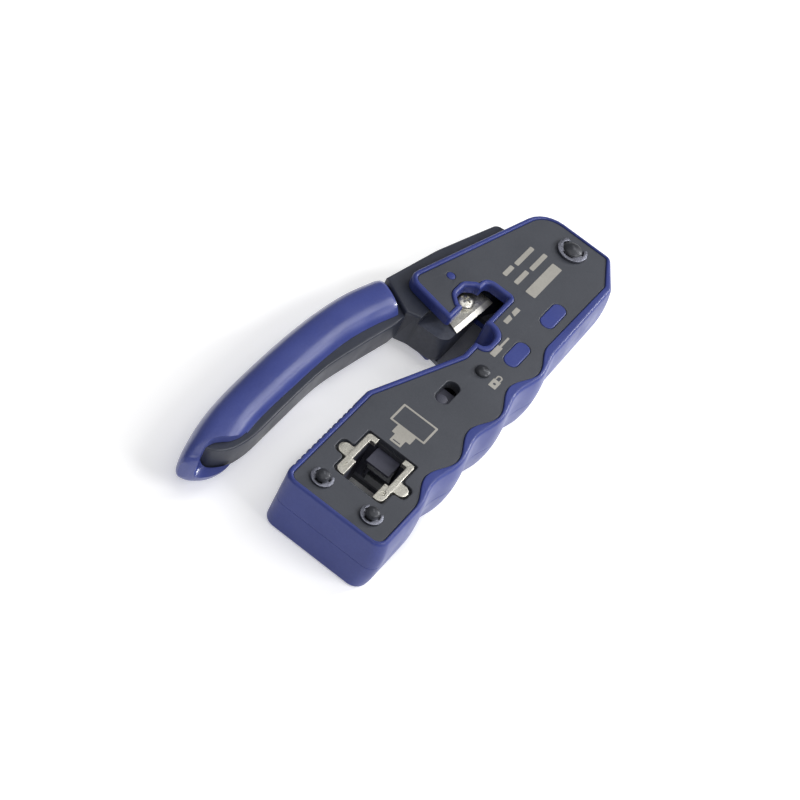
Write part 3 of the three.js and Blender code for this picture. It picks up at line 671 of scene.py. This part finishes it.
# Inner edge of the hard core, and stations of the sleeve: inner edge, outer edge, half thickness.
CORE_INNER = [(50, 24.6), (34.4, 27.4), (19.3, 29.5), (0, 29.6), (-12, 29.5), (-18, 30.1), (-22.5, 31.4),
              (-26, 33.8), (-27.2, 36.4)]
SLEEVE = [
    ((52.6, 25.6), (59, 38), 7.2), ((50.8, 26.1), (56.6, 38.9), 7.6), ((44, 28.1), (46.4, 41.6), 7.6),
    ((34, 30.1), (35, 43.2), 7.6), ((23, 31), (23.4, 44), 7.6), ((10, 31.3), (10, 44.3), 7.6),
    ((-4, 31.4), (-5, 44.1), 7.6), ((-12, 31.1), (-15, 43.5), 7.6), ((-18, 30.4), (-21.4, 42.6), 7.4),
    ((-23.5, 30), (-26.6, 41.5), 7), ((-28, 31.2), (-30.8, 40.4), 6.2), ((-31.6, 33.7), (-33.6, 39.2), 4.8),
    ((-33.6, 35.8), (-34.5, 38.2), 3),
]


def through(stations, steps):
    """Catmull-Rom curve through stations, each a list of numbers."""
    ends = [[2 * a - b for a, b in zip(stations[0], stations[1])],
            [2 * a - b for a, b in zip(stations[-1], stations[-2])]]
    knots = [ends[0], *stations, ends[1]]
    found = []
    for k in range(1, len(knots) - 2):
        for s in range(steps):
            t = s / steps
            found.append([
                0.5 * (2 * b + (c - a) * t + (2 * a - 5 * b + 4 * c - d) * t * t
                       + (3 * b - a - 3 * c + d) * t ** 3)
                for a, b, c, d in zip(*knots[k - 1:k + 3])
            ])
    return [*found, list(stations[-1])]


def core_outline(shift, outer):
    inner = [(x - shift, y - shift, 0) for x, y in through(CORE_INNER, 6)]
    return [*reversed(inner), *[(x, y, 0) for x, y in outer]]


def grip_sleeve():
    """Squarish tube along the stations, hollowed for the core and scooped out at its free end."""
    squareness, around = 0.72, 64
    rings = []
    for x0, y0, x1, y1, half in through([[*a, *b, h] for a, b, h in SLEEVE], 6):
        middle = Vector(((x0 + x1) / 2, (y0 + y1) / 2, MID))
        across = Vector(((x1 - x0) / 2, (y1 - y0) / 2, 0))
        ring = []
        for i in range(around):
            turn = cmath.rect(1, 2 * math.pi * i / around)
            u = math.copysign(abs(turn.real) ** squareness, turn.real)
            v = math.copysign(abs(turn.imag) ** squareness, turn.imag)
            ring.append(middle + across * u + Vector((0, 0, half * v)))
        rings.append(ring)
    pocket = core_outline(0.3, [(62, 24), (64, 34.4), (46, 39.8), (28, 41.4), (8, 41.6), (-12, 41),
                                (-22.2, 39.9), (-27.7, 36.7)])
    arm = [(54.4, 12, 0), (64, 12, 0), (64, 36.4, 0), (60.8, 36.1, 0), (54.2, 24.6, 0)]
    lip = through([(-15, 31.6), (-18, 31.9), (-20.9, 33), (-22.8, 34.4), (-24.8, 35.6), (-27.3, 36.1),
                   (-30, 35.8), (-32, 34.9), (-33.8, 33.2)], 5)
    scoop = [(x, y, 0) for x, y in lip] + [(-34.6, 31.5, 0), (-34.6, 20, 0), (-15, 20, 0)]
    return carved(
        skinned("grip_sleeve_detail", [rings]),
        slab("pocket", pocket, 5.4, THICKNESS - 5.4),
        slab("arm", arm, 3.5, THICKNESS - 3.5),
        slab("scoop", scoop, MID - 2.6, THICKNESS, 0, foot=2.4, segments=6),
    )


def handle_arm():
    """Arm from the pivot eye to the grip's core, with the blade's seat and the link's slot cut in."""
    x, y = PIVOT
    eye = 4.7
    arm = slab("handle_arm_detail", [
        (56.2, 11, 3.5), (66, 11, 0), (82, 11.4, 3), (97, 5.6, 6), (106.6, -2.1, 3),
        (x, y - eye, 0), (x + eye, y - eye, 4.6), (x + eye, y + eye, 4.6),
        (107, 16.6, 3), (105.8, 24.8, 2.4), (82, 31.6, 40), (60.6, 35.8, 0), (54.4, 24.8, 0), (55.7, 21, 4),
    ], 3.6, THICKNESS - 3.6, 0.7)
    outer = [(58, 24.4), (62, 34.2), (46, 39.6), (28, 41.2), (8, 41.4), (-12, 40.8), (-22, 39.6)]
    core = slab("core", core_outline(0, outer), 5.6, THICKNESS - 5.6, 0.5)
    arm = combined(arm, "UNION", [core])
    seat = [(54, 8, 0), (84, 6, 0), (84, 20.6, 0), (54, 20.6, 0)]
    swing = [(80, -9, 3), (110, 8, 3), (110, 17, 4), (98, 18, 4), (80, 2, 3)]
    return carved(
        arm,
        slab("seat", seat, 13.2, THICKNESS),
        slab("swing", swing, 8.1, 11.7),
        slab("bore", circle(x, y, 3.05), 0, THICKNESS),
        slab("crank", circle(104.5, 12.5, 1.52), 4.5, 15.1),
        slab("thread", circle(*BLADE_SCREW, 1.6), 7.3, 14),
    )


place(handle_arm(), "handle", "arm", ARM, ["handle_arm"])
place(grip_sleeve(), "handle", "skin", GRIP, ["grip_sleeve"], sharp=40, weighted=False)


def cutting_blade():
    """Flat blade with a chisel edge; the ground bevel is a strip of its own in a lighter steel, whose
    brightness is partly its ground finish and partly a painted highlight.
    """
    low, thick = 13.3, 0.6
    x0, y0, x1, y1 = 61.8, 10.85, 80.6, 9.65
    outline = [(x0 + 0.4, y0 + 1.5, 0), (x1, y1 + 1.5, 0), (x1, y1 + 9, 0.3), (x0 + 3.4, y0 + 9, 0.3)]
    blade = slab("cutting_blade_detail", outline, low, low + thick, 0.06, holes=[circle(*BLADE_SCREW, 1.6)])
    place(blade, "handle", "silver", SILVER, ["cutting_blade"])
    heights = [low, low, low + thick, low + 0.08]
    depths = [0, 1.5, 1.5, 0]
    rings = []
    for x, y in ((x0, y0), (x1, y1)):
        lean = 0.4 if x == x0 else 0
        rings.append([Vector((x + lean * d / 1.5, y + d, z)) for d, z in zip(depths, heights)])
    edge = skinned("cutting_edge_detail", [rings])
    place(edge, "handle", "silver", BEVEL_PAINTED_HIGHLIGHT, weighted=False)


def pan_head_screw():
    x, y = BLADE_SCREW
    seat = 13.92
    screw = turned("blade_screw_detail", x, y, [
        (1.5, seat - 5), (1.5, seat), (2.7, seat), (2.75, seat + 0.1), (2.75, seat + 0.7),
        *[(2.75 * math.cos(a), seat + 0.7 + 1.2 * math.sin(a)) for a in [0.16 * k for k in range(1, 10)]],
    ])
    slots = []
    for w, h in ((1.6, 0.4), (0.4, 1.6)):
        slots.append(slab("slot", rectangle(x - w, y - h, x + w, y + h, 0.1), seat + 0.9, seat + 3))
    return carved(screw, *slots)


cutting_blade()
place(pan_head_screw(), "handle", "silver", SILVER, ["blade_screw"])

# ---------------------------------------------------------------- print on the face

def printed(name, outline, holes=()):
    """A mark printed on the face: a film that stands 0.03 mm proud."""
    mark = slab(name, outline, PLATE_TOP - 0.02, PLATE_TOP + 0.03, holes=holes)
    place(mark, "body", "shell", PRINT)


printed("plug_symbol_body", [(15, -5.15, 0.3), (22.6, -5.15, 0.3), (22.6, 6.3, 0.3), (15, 6.3, 0.3)],
        [[(15.6, -4.55, 0.1), (22, -4.55, 0.1), (22, 5.7, 0.1), (15.6, 5.7, 0.1)]])
printed("plug_symbol_latch", [(8.9, -1.1, 0.2), (11.8, -1.1, 0.2), (11.8, -2.45, 0.2), (15, -2.45, 0.2),
                              (15, 3.55, 0.2), (11.8, 3.55, 0.2), (11.8, 2.45, 0.2), (8.9, 2.45, 0.2)],
        [rectangle(9.6, -0.5, 10, 1.8, 0.1)])

# Rows of plain bars in place of words, and three plain symbols: a cut cable, a stripped cable, a padlock.
WORDS = [(86.5, 91.5, 11.9, 0.75), (93, 103, 11.6, 0.75), (86.5, 93.5, 7.8, 0.75), (95, 104, 7.4, 0.75),
         (86.2, 102.8, 2.5, 1.7)]
for i, (x0, x1, y, h) in enumerate(WORDS):
    printed(f"printed_bar_{i + 1}", rectangle(x0, y - h, x1, y + h, 0.4))
printed("cut_symbol_left", [(70.9, 1.3, 0.2), (73.9, 1.3, 0.2), (74.7, 2.8, 0.2), (70.9, 2.8, 0.2)])
printed("cut_symbol_right", [(75.1, 1.3, 0.2), (78.7, 1.3, 0.2), (78.7, 2.8, 0.2), (75.9, 2.8, 0.2)])
printed("strip_symbol", [(57.3, -2.6, 0.2), (62, -2.6, 0.2), (62, -2.05, 0.05), (66.8, -2.05, 0.1),
                         (66.8, -1.4, 0.1), (62, -1.4, 0.05), (62, -0.85, 0.2), (57.3, -0.85, 0.2)])
printed("lock_symbol", [(47.2, -8.9, 0.2), (50.6, -8.9, 0.2), (50.6, -6.5, 0.2), (47.2, -6.5, 0.2)],
        [circle(48.9, -7.7, 0.45, 16)])
printed("lock_symbol_bow", [(50.65, -8.6, 0.1), (52.7, -8.6, 0.9), (52.7, -6.8, 0.9),
                            (50.65, -6.8, 0.1), (50.65, -7.2, 0.1), (52.2, -7.2, 0.5), (52.2, -8.2, 0.5),
                            (50.65, -8.2, 0.1)])

# ---------------------------------------------------------------- kept nodes

KEPT = {
    "front_frame_plate": BLACK, "back_frame_plate": PRIMED, "plug_nest": NEST,
    "crank_pin": STEEL, "drive_link": STEEL, "bar_pin": STEEL, "drive_bar": STEEL, "punch_block": NEST,
    "contact_comb": STEEL, "cord_presser": STEEL,
}
for node, material in KEPT.items():
    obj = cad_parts[node]
    obj.data.materials.clear()
    obj.data.materials.append(material)

# ---------------------------------------------------------------- floor, light and camera

def pale_floor():
    """Bright matt paper with a painted glow that lifts its own shade a little, except in the dark under the
    open pocket, where the glow is left out.
    """
    look = Look("pale_floor")
    colour = look.ramp(look.noise(8, 3), grey(0.9), grey(0.94))
    roughness = look.ramp(look.noise(30, 3), grey(0.75), grey(0.85))
    here = look.nodes.new("ShaderNodeVectorMath")
    here.operation = "DISTANCE"
    here.inputs[1].default_value = SHIFT
    look.links.new(look.place, here.inputs[0])
    # Painted light: the floor glows at 0.36, less from 22 mm in towards the pocket's middle, and not at all
    # within 14 mm.
    floor_glow = look.nodes.new("ShaderNodeMapRange")
    floor_glow.inputs["From Min"].default_value = 0.014
    floor_glow.inputs["From Max"].default_value = 0.022
    floor_glow.inputs["To Max"].default_value = 0.36
    look.links.new(here.outputs["Value"], floor_glow.inputs["Value"])
    look.links.new(floor_glow.outputs["Result"], look.shader.inputs["Emission Strength"])
    look.relief((look.noise(300, 2), 0.00002, 0.02))
    return look.finish(colour, roughness, Emission_Color=(1, 1, 1, 1))


FLOOR = pale_floor()


def floor():
    half = 3.0
    mesh = bmesh.new()
    mesh.faces.new([mesh.verts.new((x * half, y * half, 0)) for x, y in ((-1, -1), (1, -1), (1, 1), (-1, 1))])
    data = bpy.data.meshes.new("floor")
    mesh.to_mesh(data)
    mesh.free()
    obj = bpy.data.objects.new("floor", data)
    bpy.context.scene.collection.objects.link(obj)
    obj.data.materials.append(FLOOR)


def area_light(name, at, power, size):
    """Square white light aimed at the middle of the row."""
    data = bpy.data.lights.new(name, "AREA")
    data.energy = power
    data.size = size
    obj = bpy.data.objects.new(name, data)
    obj.location = at
    obj.rotation_euler = (-Vector(at)).to_track_quat("-Z", "Y").to_euler()
    bpy.context.scene.collection.objects.link(obj)


def camera():
    """Seen from beyond the pocket end, above the finger side. Right, up and backwards are unit vectors."""
    right = Vector((0.51786, -0.788705, 0.331308))
    up = Vector((0.518161, 0.597349, 0.612114))
    back = Vector((-0.680684, -0.145318, 0.718019))
    at = Vector((-413.453, -81.927, 479.58)) * MM + SHIFT
    data = bpy.data.cameras.new("camera")
    data.lens = 108
    data.sensor_width = 36
    data.shift_x = 0.01168
    data.shift_y = -0.01033
    data.clip_start = 0.01
    obj = bpy.data.objects.new("camera", data)
    obj.matrix_world = Matrix.Translation(at) @ Matrix((right, up, back)).transposed().to_4x4()
    bpy.context.scene.collection.objects.link(obj)
    bpy.context.scene.camera = obj


floor()
camera()
world = bpy.data.worlds.new("studio")
world.use_nodes = True
world.node_tree.nodes["Background"].inputs["Color"].default_value = (1, 1, 1, 1)
world.node_tree.nodes["Background"].inputs["Strength"].default_value = 0.16
bpy.context.scene.world = world
area_light("key", (0.1, -0.9, 0.75), 7.5, 0.7)
area_light("overhead", (0.05, 0.05, 1.2), 3.2, 0.9)
area_light("front", (-0.75, -0.2, 0.95), 1.6, 0.4)
area_light("fill", (0.85, -0.3, 0.8), 2.9, 0.5)
area_light("strip", (0.95, -0.57, 0.42), 5.5, 0.12)
bpy.context.scene.view_settings.view_transform = "Standard"
